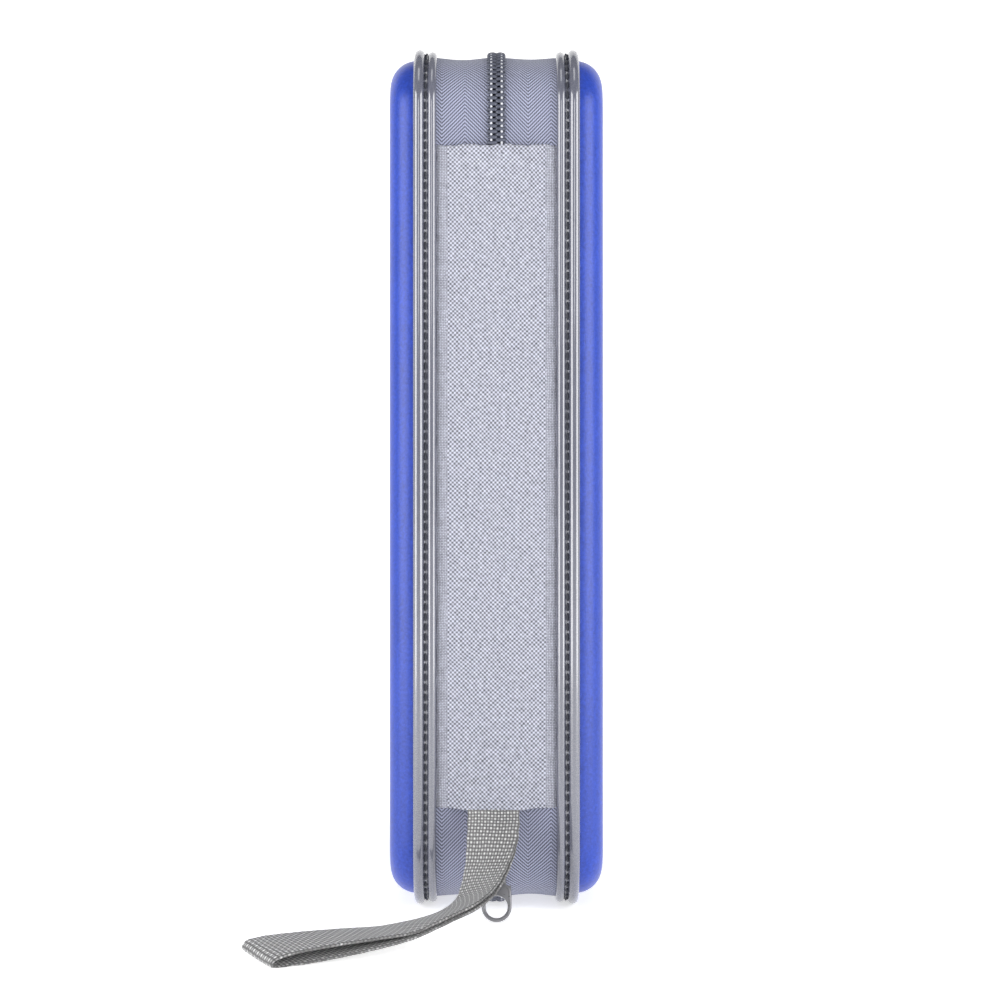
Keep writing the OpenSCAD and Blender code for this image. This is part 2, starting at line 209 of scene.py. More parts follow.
class Mat:
    """A node material with short helpers for its maths."""

    def __init__(self, name, color, rough, metal=0.0, sheen=0.0, coat=0.0, coat_rough=0.2):
        self.mat = bpy.data.materials.new(name)
        self.mat.use_nodes = True
        self.tree = self.mat.node_tree
        self.bsdf = self.tree.nodes["Principled BSDF"]
        self.color = (*color, 1)
        self.set("Base Color", self.color)
        self.set("Roughness", rough)
        self.set("Metallic", metal)
        self.set("Sheen Weight", sheen)
        self.set("Sheen Roughness", 0.5)
        self.set("Coat Weight", coat)
        self.set("Coat Roughness", coat_rough)
        self.set("IOR", 1.5)

    def set(self, socket, value):
        self.bsdf.inputs[socket].default_value = value

    def node(self, kind, **values):
        n = self.tree.nodes.new(kind)
        for k, v in values.items():
            setattr(n, k, v)
        return n

    def link(self, a, b):
        self.tree.links.new(a, b)

    def put(self, socket, value):
        if isinstance(value, (int, float)):
            socket.default_value = value
        else:
            self.link(value, socket)

    def m(self, op, a, b=None, c=None):
        """A maths node on sockets or numbers."""
        n = self.node("ShaderNodeMath", operation=op)
        for i, v in enumerate((a, b, c)):
            if v is not None:
                self.put(n.inputs[i], v)
        return n.outputs[0]

    def coords(self, kind="Object"):
        """X, Y and Z sockets in millimetres."""
        tc = self.node("ShaderNodeTexCoord")
        sep = self.node("ShaderNodeSeparateXYZ")
        self.link(tc.outputs[kind], sep.inputs[0])
        return [self.m("MULTIPLY", o, 1 / MM) for o in sep.outputs], tc.outputs[kind]

    def noise(self, vector, scale, detail=2.0, rough=0.5):
        n = self.node("ShaderNodeTexNoise")
        n.inputs["Scale"].default_value = scale
        n.inputs["Detail"].default_value = detail
        n.inputs["Roughness"].default_value = rough
        self.link(vector, n.inputs["Vector"])
        return n.outputs["Fac"]

    def wave(self, x, period):
        """|sin| of x with that period, 0 at the gaps and 1 at the crests."""
        return self.m("ABSOLUTE", self.m("SINE", self.m("MULTIPLY", x, math.pi / period)))

    def ramp(self, fac, stops):
        n = self.node("ShaderNodeValToRGB")
        e = n.color_ramp.elements
        while len(e) < len(stops):
            e.new(0.5)
        for item, (pos, col) in zip(e, stops):
            item.position = pos
            item.color = (*col, 1) if len(col) == 3 else col
        self.put(n.inputs["Fac"], fac)
        return n.outputs["Color"]

    def shade(self, fac, low, high):
        """Base colour times a value that runs from low to high with fac."""
        return self.ramp(fac, [(0, tuple(c * low for c in self.color[:3])),
                               (1, tuple(min(1, c * high) for c in self.color[:3]))])

    def colour(self, socket):
        self.link(socket, self.bsdf.inputs["Base Color"])

    def rough(self, fac, low, high):
        n = self.node("ShaderNodeMapRange")
        n.inputs["To Min"].default_value = low
        n.inputs["To Max"].default_value = high
        self.put(n.inputs["Value"], fac)
        self.link(n.outputs[0], self.bsdf.inputs["Roughness"])

    def bump(self, height, depth_mm, strength=1.0):
        n = self.node("ShaderNodeBump")
        n.inputs["Strength"].default_value = strength
        n.inputs["Distance"].default_value = depth_mm * MM
        self.link(height, n.inputs["Height"])
        self.link(n.outputs[0], self.bsdf.inputs["Normal"])


def film(name, color, rough=0.34, grain=0.10):
    """Smooth skinned foam: a fine pebble grain, faint cloudiness and a soft sheen."""
    k = Mat(name, color, rough, coat=0.08, coat_rough=0.25)
    _, v = k.coords()
    fine = k.noise(v, 1000, 3, 0.7)
    cloud = k.noise(v, 45, 4)
    k.colour(k.shade(k.m("ADD", k.m("MULTIPLY", fine, 0.75), k.m("MULTIPLY", cloud, 0.25)), 0.20, 1.80))
    k.rough(k.m("ADD", k.m("MULTIPLY", fine, 0.5), k.m("MULTIPLY", cloud, 0.5)), rough - 0.07, rough + 0.09)
    k.bump(fine, grain, 0.6)
    return k.mat


def vinyl(name, color):
    """Soft extruded vinyl: glossy, with a slight ripple along its length."""
    k = Mat(name, color, 0.27, coat=1.0, coat_rough=0.10)
    k.set("Coat IOR", 2.1)
    _, v = k.coords()
    ripple = k.noise(v, 300, 2)
    fine = k.noise(v, 3200, 2)
    k.colour(k.shade(k.noise(v, 60, 2), 0.88, 1.12))
    k.rough(fine, 0.20, 0.34)
    k.bump(k.m("ADD", ripple, k.m("MULTIPLY", fine, 0.1)), 0.10, 0.5)
    return k.mat


def weave_height(k, a, b, pa, pb):
    """Over-and-under plain weave of two thread sets with periods pa and pb."""
    p = k.m("MULTIPLY", k.m("SINE", k.m("MULTIPLY", a, math.pi / pa)),
            k.m("SINE", k.m("MULTIPLY", b, math.pi / pb)))
    over = k.m("MAXIMUM", p, k.m("MULTIPLY", p, -0.62))
    return k.m("POWER", over, 0.6), p


def woven(name, color, pa, pb, axes=(0, 2), kind="Object", depth=0.28, low=0.42, high=1.14, slub=0.25,
          sharp=1.0):
    """Woven cloth whose cells are pa by pb millimetres along two axes."""
    k = Mat(name, color, 0.8, sheen=0.18)
    xyz, v = k.coords(kind)
    wob = k.m("MULTIPLY", k.m("SUBTRACT", k.noise(v, 120, 2), 0.5), 0.9)
    h, _ = weave_height(k, k.m("ADD", xyz[axes[0]], wob), k.m("ADD", xyz[axes[1]], wob), pa, pb)
    if sharp != 1:
        h = k.m("POWER", h, sharp)
    fibre = k.noise(v, 4200, 2)
    tone = k.m("ADD", k.m("MULTIPLY", h, 0.8), k.m("MULTIPLY", fibre, 0.2))
    tone = k.m("ADD", tone, k.m("MULTIPLY", k.m("SUBTRACT", k.noise(v, 55, 3), 0.5), slub))
    k.colour(k.shade(tone, low, high))
    k.bump(k.m("ADD", h, k.m("MULTIPLY", fibre, 0.25)), depth, 0.9)
    return k.mat


def dobby(name, color, edge):
    """Spine cloth: staggered bright floats over dark gaps, and a fine plain weave along both selvedges."""
    k = Mat(name, color, 0.78, sheen=0.15)
    xyz, v = k.coords()
    wob = k.m("MULTIPLY", k.m("SUBTRACT", k.noise(v, 90, 2), 0.5), 0.9)
    x, z = k.m("ADD", xyz[0], wob), k.m("ADD", xyz[2], wob)
    fine, _ = weave_height(k, x, z, 0.5, 0.5)
    _, p = weave_height(k, x, z, 0.66, 0.66)
    floats = k.m("POWER", k.m("MULTIPLY_ADD", p, 0.5, 0.5), 1.3)
    selvedge = k.m("GREATER_THAN", k.m("ABSOLUTE", xyz[0]), edge)
    h = k.m("ADD", k.m("MULTIPLY", floats, k.m("SUBTRACT", 1.0, selvedge)), k.m("MULTIPLY", fine, selvedge))
    fibre = k.noise(v, 4200, 2)
    slub = k.m("MULTIPLY", k.m("SUBTRACT", k.noise(v, 700, 3), 0.5), 0.45)
    tone = k.m("ADD", k.m("ADD", k.m("MULTIPLY", h, 0.85), k.m("MULTIPLY", fibre, 0.15)), slub)
    k.colour(k.shade(tone, 0.12, 1.85))
    k.bump(k.m("ADD", h, k.m("MULTIPLY", fibre, 0.25)), 0.3, 0.9)
    return k.mat


def herringbone(name, color):
    """Zip tape: slanting twill that turns at set distances from the chain, read from UV."""
    k = Mat(name, color, 0.82, sheen=0.2)
    xyz, v = k.coords("UV")
    turn = k.m("PINGPONG", k.m("SUBTRACT", xyz[1], 2.7), 7.1)
    phase = k.m("ADD", xyz[0], turn)
    stripe = k.m("POWER", k.wave(phase, 1.15), 1.3)
    rib = k.wave(xyz[1], 0.62)
    pick = k.wave(xyz[0], 0.5)
    fine = k.m("MULTIPLY", rib, pick)
    h = k.m("ADD", k.m("MULTIPLY", stripe, 0.78), k.m("MULTIPLY", fine, 0.22))
    k.colour(k.shade(h, 0.02, 2.4))
    k.bump(h, 0.25, 0.8)
    return k.mat


def plain(name, color, rough, noise_scale=900, depth=0.03, metal=0.0, coat=0.0, low=0.85, high=1.12,
          sheen=0.0):
    """A smooth or matt finish with faint colour variation and a fine bump."""
    k = Mat(name, color, rough, metal=metal, coat=coat, sheen=sheen)
    _, v = k.coords()
    n = k.noise(v, noise_scale, 3)
    k.colour(k.shade(k.noise(v, 90, 3), low, high))
    k.rough(n, max(0.05, rough - 0.1), min(1, rough + 0.1))
    k.bump(n, depth, 0.6)
    return k.mat


def foam(name, color):
    """Open foam: small dark pores on a soft matte face."""
    k = Mat(name, color, 0.92, sheen=0.12)
    _, v = k.coords()
    pores = k.node("ShaderNodeTexVoronoi")
    pores.inputs["Scale"].default_value = 900
    k.link(v, pores.inputs["Vector"])
    d = pores.outputs["Distance"]
    k.colour(k.shade(d, 0.45, 1.35))
    k.bump(d, 0.35, 0.8)
    return k.mat


BLUE = film("shell_blue", (0.015, 0.052, 0.40))
VINYL = vinyl("piping_vinyl_look", (0.10, 0.105, 0.145))
PANEL = dobby("panel_weave", (0.405, 0.415, 0.49), 15.4)
EDGE_CLOTH = woven("edge_weave", (0.46, 0.47, 0.56), 0.5, 0.5, axes=(0, 2))
TAPE = herringbone("tape_herringbone", (0.18, 0.19, 0.26))
COIL = plain("coil_nylon", (0.075, 0.082, 0.115), 0.38, 1500, 0.02)
THREAD = plain("thread_look", (0.030, 0.034, 0.048), 0.65, 5000, 0.08, sheen=0.1)
CHAIN_THREAD = plain("chain_thread_look", (0.62, 0.63, 0.68), 0.6, 5000, 0.06, sheen=0.2)
WEBBING = woven("webbing_weave", (0.51, 0.465, 0.525), 1.2, 0.98, axes=(0, 1), kind="UV", depth=0.32,
                low=0.02, high=2.2, slub=0.12, sharp=2.5)
METAL = plain("slider_enamel", (0.22, 0.22, 0.235), 0.30, 1400, 0.02, metal=0.6, coat=0.5)
LINING = woven("lining_knit", (0.105, 0.105, 0.125), 0.7, 0.7, axes=(1, 2), depth=0.15, low=0.6, high=1.25)
LINING_SPINE = woven("lining_knit_spine", (0.105, 0.105, 0.125), 0.7, 0.7, axes=(0, 2), depth=0.15, low=0.6,
                     high=1.25)
CORE = foam("core_foam", (0.045, 0.045, 0.055))
INSERT = foam("insert_foam_look", (0.060, 0.060, 0.068))
BOARD = plain("board_look", (0.60, 0.60, 0.57), 0.6)
NET = plain("net_yarn", (0.045, 0.045, 0.05), 0.7, 4000, 0.05, sheen=0.2)
BINDING = woven("binding_weave", (0.050, 0.050, 0.060), 0.5, 1.1, axes=(1, 2), depth=0.15)
ELASTIC = woven("elastic_weave", (0.030, 0.030, 0.036), 1.0, 0.6, axes=(1, 2), depth=0.25, low=0.6, high=1.5)


# ---------- the two moulded shells and their trim ----------

def arc(cu, ch, r, a0, a1, n):
    """Points round a bead, from the shell's side over the crest to the tape's side."""
    out = []
    for k in range(n + 1):
        a = math.radians(a0 + (a1 - a0) * k / n)
        out.append((cu + r * math.sin(a), ch + r * math.cos(a)))
    return out


def build_shell(body, side):
    """A moulded half: wall, rounded edge and a flat face."""
    u0, r = -1.0, FILLET_R
    profile = [(u0, STRIP_OUT - 3.2), (u0, FACE_X - r - 0.4)]
    for k in range(17):
        a = math.radians(90 * k / 16)
        profile.append((u0 - r + r * math.cos(a), FACE_X - r + r * math.sin(a) - 0.02))
    stops = stations(0, TOTAL, 3)[:-1]
    verts, faces = [], []
    for s in stops:
        (y, z), (ny, nz) = at(s)
        for u, h in profile:
            verts.append((side * h, y + u * ny, z + u * nz))
    n, c = len(stops), len(profile)
    for i in range(n):
        j = (i + 1) % n
        for k in range(c - 1):
            q = (i * c + k, i * c + k + 1, j * c + k + 1, j * c + k)
            faces.append(q if side < 0 else q[::-1])
    ring = [i * c + c - 1 for i in range(n)]
    edge = [verts[i] for i in ring]
    for scale in (0.97, 0.92, 0.82, 0.65, 0.45, 0.25):
        start = len(verts)
        for x, y, z in edge:
            verts.append((x, y * scale, (z - MID_Z) * scale + MID_Z))
        new = list(range(start, start + n))
        for i in range(n):
            j = (i + 1) % n
            q = (ring[i], new[i], new[j], ring[j])
            faces.append(q if side < 0 else q[::-1])
        ring = new
    verts.append((edge[0][0], 0, MID_Z))
    for i in range(n):
        q = (ring[i], len(verts) - 1, ring[(i + 1) % n])
        faces.append(q if side < 0 else q[::-1])
    ob = add_mesh(f"{body}_moulded_shell", verts, faces, BLUE)
    thick = ob.modifiers.new("thick", "SOLIDIFY")
    thick.thickness = 0.6 * MM
    thick.offset = -1
    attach(ob, body)
    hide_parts(f"{body}_skin")


def build_piping(body, side):
    """Double-bead strip with a stitched groove between the beads."""
    co, ci = STRIP_OUT - OUT_R, STRIP_IN + IN_R
    profile = [(-1.0, STRIP_OUT + 0.05), (-0.4, STRIP_OUT + 0.1)]
    profile += arc(PROUD - OUT_R, co, OUT_R, -12, 168, 14)
    profile += [(0.75, co - OUT_R - 0.15), (0.7, GROOVE), (0.75, ci + IN_R + 0.15)]
    profile += arc(PROUD - 0.6 - IN_R, ci, IN_R, 12, 192, 12)
    profile += [(-0.15, ci - IN_R + 0.15), (-0.3, ci)]
    ob = sweep(f"{body}_piping_strip", profile, side, stations(0, TOTAL, 2.5), VINYL)
    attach(ob, body)
    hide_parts(f"{body}_piping")


def stitches(name, spots, length, radius, mat, sag=0.35):
    """Many short thread loops: each spot is (middle, along, out) and dips into the cloth at its ends."""
    rings, sides = 6, 6
    verts, faces = [], []
    for mid, along, out in spots:
        mid, along, out = (np.array(v, float) for v in (mid, along, out))
        across = np.cross(along, out)
        start = len(verts)
        for i in range(rings + 1):
            t = i / rings * 2 - 1
            r = radius * math.sqrt(max(0.06, 1 - abs(t) ** 4))
            c = mid + along * t * length / 2 - out * sag * t * t * t * t * radius * 3
            for j in range(sides):
                a = 2 * math.pi * j / sides
                verts.append(c + out * r * math.sin(a) + across * r * math.cos(a))
        faces += [[start + v for v in f] for f in grid_faces(rings + 1, sides, wrap=True)]
        faces.append([start + j for j in range(sides)][::-1])
        faces.append([start + rings * sides + j for j in range(sides)])
    return add_mesh(name, verts, faces, mat)


def build_seam(body, side):
    """Thread along the groove between the piping's two beads."""
    pitch = TOTAL / round(TOTAL / 3.1)
    spots = []
    for k in range(int(round(TOTAL / pitch))):
        s = (k + 0.5) * pitch
        p = place(s, 1.0, side * GROOVE)
        q = place(s + 0.5, 1.0, side * GROOVE)
        (_, n) = at(s)
        d = np.array(q) - np.array(p)
        spots.append((p, d / np.linalg.norm(d), (0, n[0], n[1])))
    ob = stitches(f"{body}_seam_stitches", spots, 2.6, 0.34, THREAD)
    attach(ob, body)
    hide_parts(f"{body}_seam_thread")


# ---------- zip: tapes, coil and how they bend at the spine's corners ----------

ZIP_S0 = spine_s(PANEL_LO[2]) - 1.0
ZIP_S1 = TOTAL + spine_s(PANEL_HI[2]) + 1.0


def zip_weights(ob, body):
    """Bakes the piece's placement into its mesh; weights for following its shell along the case and the spine
    panel at its ends, turning round the corners, are worked out but not kept.
    """
    if body == "base":
        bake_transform(ob)
    else:
        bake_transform(ob)
    co = np.array([v.co for v in ob.data.vertices], float)
    t = np.clip((-co[:, 1] / MM - CY) / (HALF_Y - CY), 0, 1)
    h = np.clip((np.abs(co[:, 0]) / MM - 3) / (STRIP_IN - 3), 0, 1)
    w = (t * t * (3 - 2 * t)) ** (1 + 5 * h * h)
    w = w if body == "base" else 1 - w


def build_tape(body, side):
    """Herringbone tape, hung a little slack between the piping and the coil."""
    hs = np.linspace(1.9, STRIP_IN + 0.9, 22)
    outer, inner = [], []
    for h in hs:
        t = np.clip((h - COIL_W) / (STRIP_IN - COIL_W), 0, 1)
        slack = -0.15 - 0.55 * math.sin(math.pi * t) ** 1.3
        outer.append((slack, h))
        inner.append((slack - 0.45, h))
    profile = outer + inner[::-1]
    stops = stations(ZIP_S0, ZIP_S1, 2.5)

    def lift(s, h):
        return 0.10 * math.sin(s * 0.061 + side) * math.sin(math.pi * np.clip((h - 3) / 15, 0, 1))

    ob = sweep(f"{body}_zip_tape_cloth", profile, side, stops, TAPE, wrap=True, lift=lift)
    zip_weights(ob, body)
    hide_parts(f"{body}_zip_tape", "zip_end_tape_lower", "zip_end_tape_upper")


def build_coil(body, side):
    """One side of the coil: a round-backed loop for each pitch, its head meshing past the middle."""
    pitch = 1.72
    count = int((ZIP_S1 - ZIP_S0) / pitch)
    rings, sides = 9, 7
    verts, faces = [], []
    for k in range(count):
        s = ZIP_S0 + (k + (0.25 if side > 0 else 0.75)) * pitch
        (y, z), (ny, nz) = at(s)
        ty, tz = -nz, ny
        start = len(verts)
        for i in range(rings + 1):
            t = i / rings
            h = COIL_W - (COIL_W + 0.30) * t
            u = -0.1 + 1.25 * math.sin(math.pi * min(1, 0.12 + t * 0.72)) ** 0.55
            wide = 0.56 + 0.14 * t
            if t in (0, 1):
                wide *= 0.35
            tall = 0.5 if 0 < t < 1 else 0.16
            for j in range(sides):
                a = 2 * math.pi * j / sides
                du, ds = tall * math.sin(a), wide * math.cos(a)
                verts.append((side * h, y + (u + du) * ny + ds * ty, z + (u + du) * nz + ds * tz))
        faces += [[start + v for v in f] for f in grid_faces(rings + 1, sides, wrap=True, flip=side > 0)]
        for first in (start, start + rings * sides):
            faces.append([first + j for j in range(sides)])
    ob = add_mesh(f"{body}_zip_coil_teeth", verts, faces, COIL)
    zip_weights(ob, body)
    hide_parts(f"{body}_zip_coil", "zip_end_coil_lower", "zip_end_coil_upper")

    spots = []
    for k in range(count):
        s = ZIP_S0 + (k + (0.75 if side > 0 else 0.25)) * pitch
        p = np.array(place(s, 1.2, side * 1.62))
        q = np.array(place(s + 0.5, 1.2, side * 1.62))
        (_, n) = at(s)
        spots.append((p, (q - p) / np.linalg.norm(q - p), (0, n[0], n[1])))
    ob = stitches(f"{body}_chain_stitches", spots, 1.05, 0.36, CHAIN_THREAD)
    zip_weights(ob, body)


for body, side in (("base", 1), ("lid", -1)):
    build_shell(body, side)
    build_piping(body, side)
    build_seam(body, side)
    build_tape(body, side)
    build_coil(body, side)


# ---------- spine panel ----------

# X of the strap's middle where it goes under the panel's hem
ROUTE_ROOT_X = -0.9


def panel_lift(x, z):
    """How far the panel's face stands out: over the chain all along, and over the strap's ends at the hem."""
    w = PANEL_HI[0]
    side = max(0.0, 1 - (abs(x) / w) ** 2.4)
    chain = 0.75 * side ** 0.8
    ends = min(z - PANEL_LO[2], PANEL_HI[2] - z)
    chain += 0.55 * side * math.exp(-(ends / 16) ** 2)
    near = math.exp(-(max(0, abs(x - ROUTE_ROOT_X) - 8.6) / 2.6) ** 2)
    rise = 2.75 * near * math.exp(-((z - PANEL_LO[2]) / 13) ** 2)
    wave = 0.10 * math.sin(z * 0.083 + 0.6) + 0.07 * math.sin(z * 0.19 + x * 0.12)
    return chain + rise + wave * side


def build_panel():
    """The woven spine panel, with folded hems, and the stitches along both hems."""
    xs = np.linspace(PANEL_LO[0] - 0.5, PANEL_HI[0] + 0.5, 49)
    z0, z1 = PANEL_LO[2], PANEL_HI[2]
    zs = np.concatenate([[z0, z0 + 0.25, z0 + 0.8], np.linspace(z0 + 2, z1 - 2, 150),
                         [z1 - 0.8, z1 - 0.25, z1]])
    face = -HALF_Y - 0.25
    layers = []
    for back in (False, True):
        grid = []
        for z in zs:
            end = min(z - z0, z1 - z)
            fold = 0.45 * math.sqrt(max(0, 1 - (1 - min(1, end / 0.8)) ** 2))
            for x in xs:
                edge = z
                if z > z1 - 3:
                    edge = z + 0.22 * math.sin(x * 0.55) + 0.12 * math.sin(x * 1.7 + 1)
                if z < z0 + 3:
                    edge = z + 0.10 * math.sin(x * 0.43 + 2)
                y = face - panel_lift(x, z)
                y += 0.45 - fold if not back else 0.45 + fold
                tuck = max(0, abs(x) - (PANEL_HI[0] - 0.9))
                grid.append((x, y + tuck * 0.35, edge))
        layers.append(grid)
    ob = add_mesh("spine_panel_cloth", layers[0] + layers[1], slab_faces(len(zs), len(xs)), PANEL)
    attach(ob, "spine")
    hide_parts("spine_panel")
    spots = []
    for z in (z0 + 2.7, z1 - 2.7):
        for x in np.arange(PANEL_LO[0] + 3.2, PANEL_HI[0] - 1.5, 5.6):
            y = face - panel_lift(x, z) + 0.02
            spots.append(((x, y, z), (1, 0, 0), (0, -1, 0)))
    ob = stitches("spine_hem_stitches", spots, 0.9, 0.16, THREAD, sag=1.1)
    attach(ob, "spine")
    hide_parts("spine_hem_thread")


def build_spine_edge(body, side):
    """The cloth between the panel and the piping, baked where it stands."""
    root, far = PANEL_HI[0] - 0.4, STRIP_IN + 0.8
    xs = np.concatenate([np.linspace(root - 0.8, far + 0.2, 13), [far + 1.7, far + 3.7, EDGE_OUT]])
    zs = np.linspace(PANEL_LO[2] + 0.3, PANEL_HI[2] - 0.3, 60)
    verts = [(side * x, y, z) for y in (-HALF_Y + 0.1, -HALF_Y + 0.6) for z in zs for x in xs]
    ob = add_mesh(f"{body}_spine_edge_cloth", verts, slab_faces(len(zs), len(xs), flip=side < 0), EDGE_CLOTH)
    if body == "base":
        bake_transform(ob)
    else:
        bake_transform(ob)
    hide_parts(f"{body}_spine_edge")


build_panel()
build_spine_edge("base", 1)
build_spine_edge("lid", -1)


# ---------- wrist strap ----------

# [x, out from the spine, height] of the front layer's middle, its width's direction, gap to the back layer
STRAP = [
    ((-0.9, 3.3, 35.0), (1, 0, 0), 0.05),
    ((-0.9, 3.6, 32.7), (1, 0, 0), 0.05),
    ((-0.9, 4.6, 31.1), (1, 0.03, 0), 0.05),
    ((-1.1, 8.0, 28.1), (0.98, 0.2, 0.02), 0.1),
    ((-1.7, 11.4, 23.7), (0.93, 0.36, 0.06), 0.2),
    ((-3.2, 15.5, 17.7), (0.80, 0.58, 0.14), 0.3),
    ((-5.8, 22.4, 12.1), (0.70, 0.65, 0.28), 0.3),
    ((-8.7, 27.8, 9.9), (0.65, 0.68, 0.30), 0.3),
    ((-12.4, 32.6, 8.5), (0.65, 0.70, 0.28), 0.3),
    ((-17.3, 36.8, 7.4), (0.65, 0.72, 0.24), 0.3),
    ((-22.8, 40.9, 6.4), (0.67, 0.73, 0.16), 0.4),
    ((-29.4, 45.1, 5.4), (0.70, 0.71, 0.06), 0.6),
    ((-38.6, 50.2, 5.5), (0.70, 0.71, 0), 1.7),
    ((-49.2, 55.2, 5.4), (0.68, 0.73, -0.05), 2.5),
    ((-59.5, 59.3, 4.8), (0.63, 0.77, -0.10), 2.6),
    ((-64.3, 61.2, 4.0), (0.61, 0.78, -0.14), 2.1),
]
STRAP_TIP = (-66.6, 62.4, 2.6)
STRAP_W, STRAP_T = 16.0, 0.95


def catmull(points, per):
    """A smooth curve through the points, with per steps from each to the next."""
    pts = np.array(points, float)
    pts = np.vstack([2 * pts[0] - pts[1], pts, 2 * pts[-1] - pts[-2]])
    out = []
    for i in range(1, len(pts) - 2):
        p0, p1, p2, p3 = pts[i - 1:i + 3]
        for k in range(per):
            t = k / per
            out.append(0.5 * ((2 * p1) + (p2 - p0) * t + (2 * p0 - 5 * p1 + 4 * p2 - p3) * t * t
                              + (3 * p1 - p0 - 3 * p2 + p3) * t ** 3))
    out.append(pts[-2])
    return np.array(out)


def build_strap():
    """Webbing folded into a loop: out along the front layer, round the tip and back along the back layer."""
    mid = catmull([(p[0], -HALF_Y - p[1], p[2]) for p, _, _ in STRAP], 8)
    across = catmull([(a[0], -a[1], a[2]) for _, a, _ in STRAP], 8)
    across /= np.linalg.norm(across, axis=1)[:, None]
    apart = catmull([(g, 0, 0) for _, _, g in STRAP], 8)[:, 0]
    along = np.gradient(mid, axis=0)
    along /= np.linalg.norm(along, axis=1)[:, None]
    face = np.cross(across, along)
    face /= np.linalg.norm(face, axis=1)[:, None]
    back = mid + face * (STRAP_T + apart)[:, None]
    tip = np.array([STRAP_TIP[0], -HALF_Y - STRAP_TIP[1], STRAP_TIP[2]])
    turn = []
    for a in np.linspace(0, math.pi, 11)[1:-1]:
        c = (mid[-1] + back[-1]) / 2
        r = np.linalg.norm(mid[-1] - back[-1]) / 2
        reach = np.linalg.norm(tip - c) * 0.9
        d = (mid[-1] - back[-1]) / (2 * r)
        turn.append(c + d * r * math.cos(a) + along[-1] * reach * math.sin(a))
    line = np.vstack([mid, turn, back[::-1]])
    ac = np.vstack([across, np.repeat(across[-1:], len(turn), 0), across[::-1]])
    tangent = np.gradient(line, axis=0)
    tangent /= np.linalg.norm(tangent, axis=1)[:, None]
    out = np.cross(tangent, ac)
    out /= np.linalg.norm(out, axis=1)[:, None]
    length = np.concatenate([[0], np.cumsum(np.linalg.norm(np.diff(line, axis=0), axis=1))])
    ts = np.concatenate([[-1, -0.985, -0.95], np.linspace(-0.9, 0.9, 13), [0.95, 0.985, 1]])
    verts, uv = [], []
    for i, c in enumerate(line):
        for sign in (1, -1):
            for t in (ts if sign > 0 else ts[::-1]):
                thick = STRAP_T / 2 * math.sqrt(max(0.0, 1 - max(0, abs(t) - 0.93) ** 2 / 0.07 ** 2)) + 0.02
                cup = -0.22 * (1 - t * t) * math.sin(length[i] * 0.09 + 0.8)
                edge = 1 + 0.012 * math.sin(length[i] * 1.15) * (abs(t) > 0.9)
                p = c + ac[i] * t * edge * STRAP_W / 2 + out[i] * (sign * thick + cup * 0.5)
                p[2] = max(p[2], 0.12 if sign < 0 else 0.22)
                verts.append(p)
                uv.append((length[i], t * STRAP_W / 2))
    cols = 2 * len(ts)
    faces = grid_faces(len(line), cols, wrap=True)
    for first in (0, (len(line) - 1) * cols):
        f = [first + j for j in range(cols)]
        faces.append(f if first == 0 else f[::-1])
    ob = add_mesh("wrist_strap_webbing", verts, faces, WEBBING, uv)
    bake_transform(ob)
    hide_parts("wrist_strap")
    return ob


build_strap()


# ---------- slider and pull ----------

def polish(node, width=0.22):
    """CAD metal keeps its shape and gets eased edges and the enamel."""
    ob = NODES[node]
    ob.data.materials.clear()
    ob.data.materials.append(METAL)
    bevel = ob.modifiers.new("eased", "BEVEL")
    bevel.width = width * MM
    bevel.segments = 2
    bevel.limit_method = "ANGLE"
    bevel.angle_limit = math.radians(40)


for node in ("slider_body", "slider_bridge", "slider_pull"):
    polish(node, 0.22 if node != "slider_pull" else 0.3)


# Where the pull hangs from the bridge, and how many degrees it leans out at rest
PIVOT_Y, PIVOT_Z, PULL_TILT = -91.7, 18.6, 20.8


def build_pull_rim():
    """Rolled rim of the pull: down one edge, round the ring and up the other."""
    tilt = math.radians(PULL_TILT)
    half, wide, end = 2.3, 3.95, -15.15
    right = [(half, -4.6), (half, -7.9), (half + 0.35, -8.9),
             (wide - 0.35, -9.6), (wide, -10.6), (wide, -12.9)]
    ring = [(wide * math.cos(a), end + wide * math.sin(a)) for a in np.linspace(0, -math.pi, 25)]
    line = right + ring + [(-x, d) for x, d in right[::-1]]
    pts = np.array([(x, PIVOT_Y + d * math.sin(tilt), PIVOT_Z + d * math.cos(tilt)) for x, d in line])
    ahead = np.gradient(pts, axis=0)
    ahead /= np.linalg.norm(ahead, axis=1)[:, None]
    flat = np.array([0, -math.cos(tilt), math.sin(tilt)])
    verts = []
    for p, d in zip(pts, ahead):
        across = np.cross(d, flat)
        for k in range(10):
            a = 2 * math.pi * k / 10
            verts.append(p + across * 0.62 * math.cos(a) + flat * 0.68 * math.sin(a))
    faces = grid_faces(len(pts), 10, wrap=True)
    faces += [list(range(10))[::-1], list(range((len(pts) - 1) * 10, len(pts) * 10))]
    ob = add_mesh("pull_rolled_rim", verts, faces, METAL)
    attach(ob, "pull")


build_pull_rim()


# ---------- inside ----------

def dress(node, mat):
    """Gives a CAD node its material."""
    NODES[node].data.materials.clear()
    NODES[node].data.materials.append(mat)


def copy_of(node, name, mat, bevel=0.0, segments=2):
    """A softened stand-in that starts from a CAD node's own mesh."""
    me = NODES[node].data.copy()
    me.materials.clear()
    me.materials.append(mat)
    ob = bpy.data.objects.new(name, me)
    bpy.context.scene.collection.objects.link(ob)
    if bevel:
        mod = ob.modifiers.new("soft", "BEVEL")
        mod.width = bevel * MM
        mod.segments = segments
        mod.limit_method = "ANGLE"
        mod.angle_limit = math.radians(35)
    body = next(b for b, e in frame["bodies"].items() if NODES[node].parent is e)
    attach(ob, body)
    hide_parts(node)
    return ob


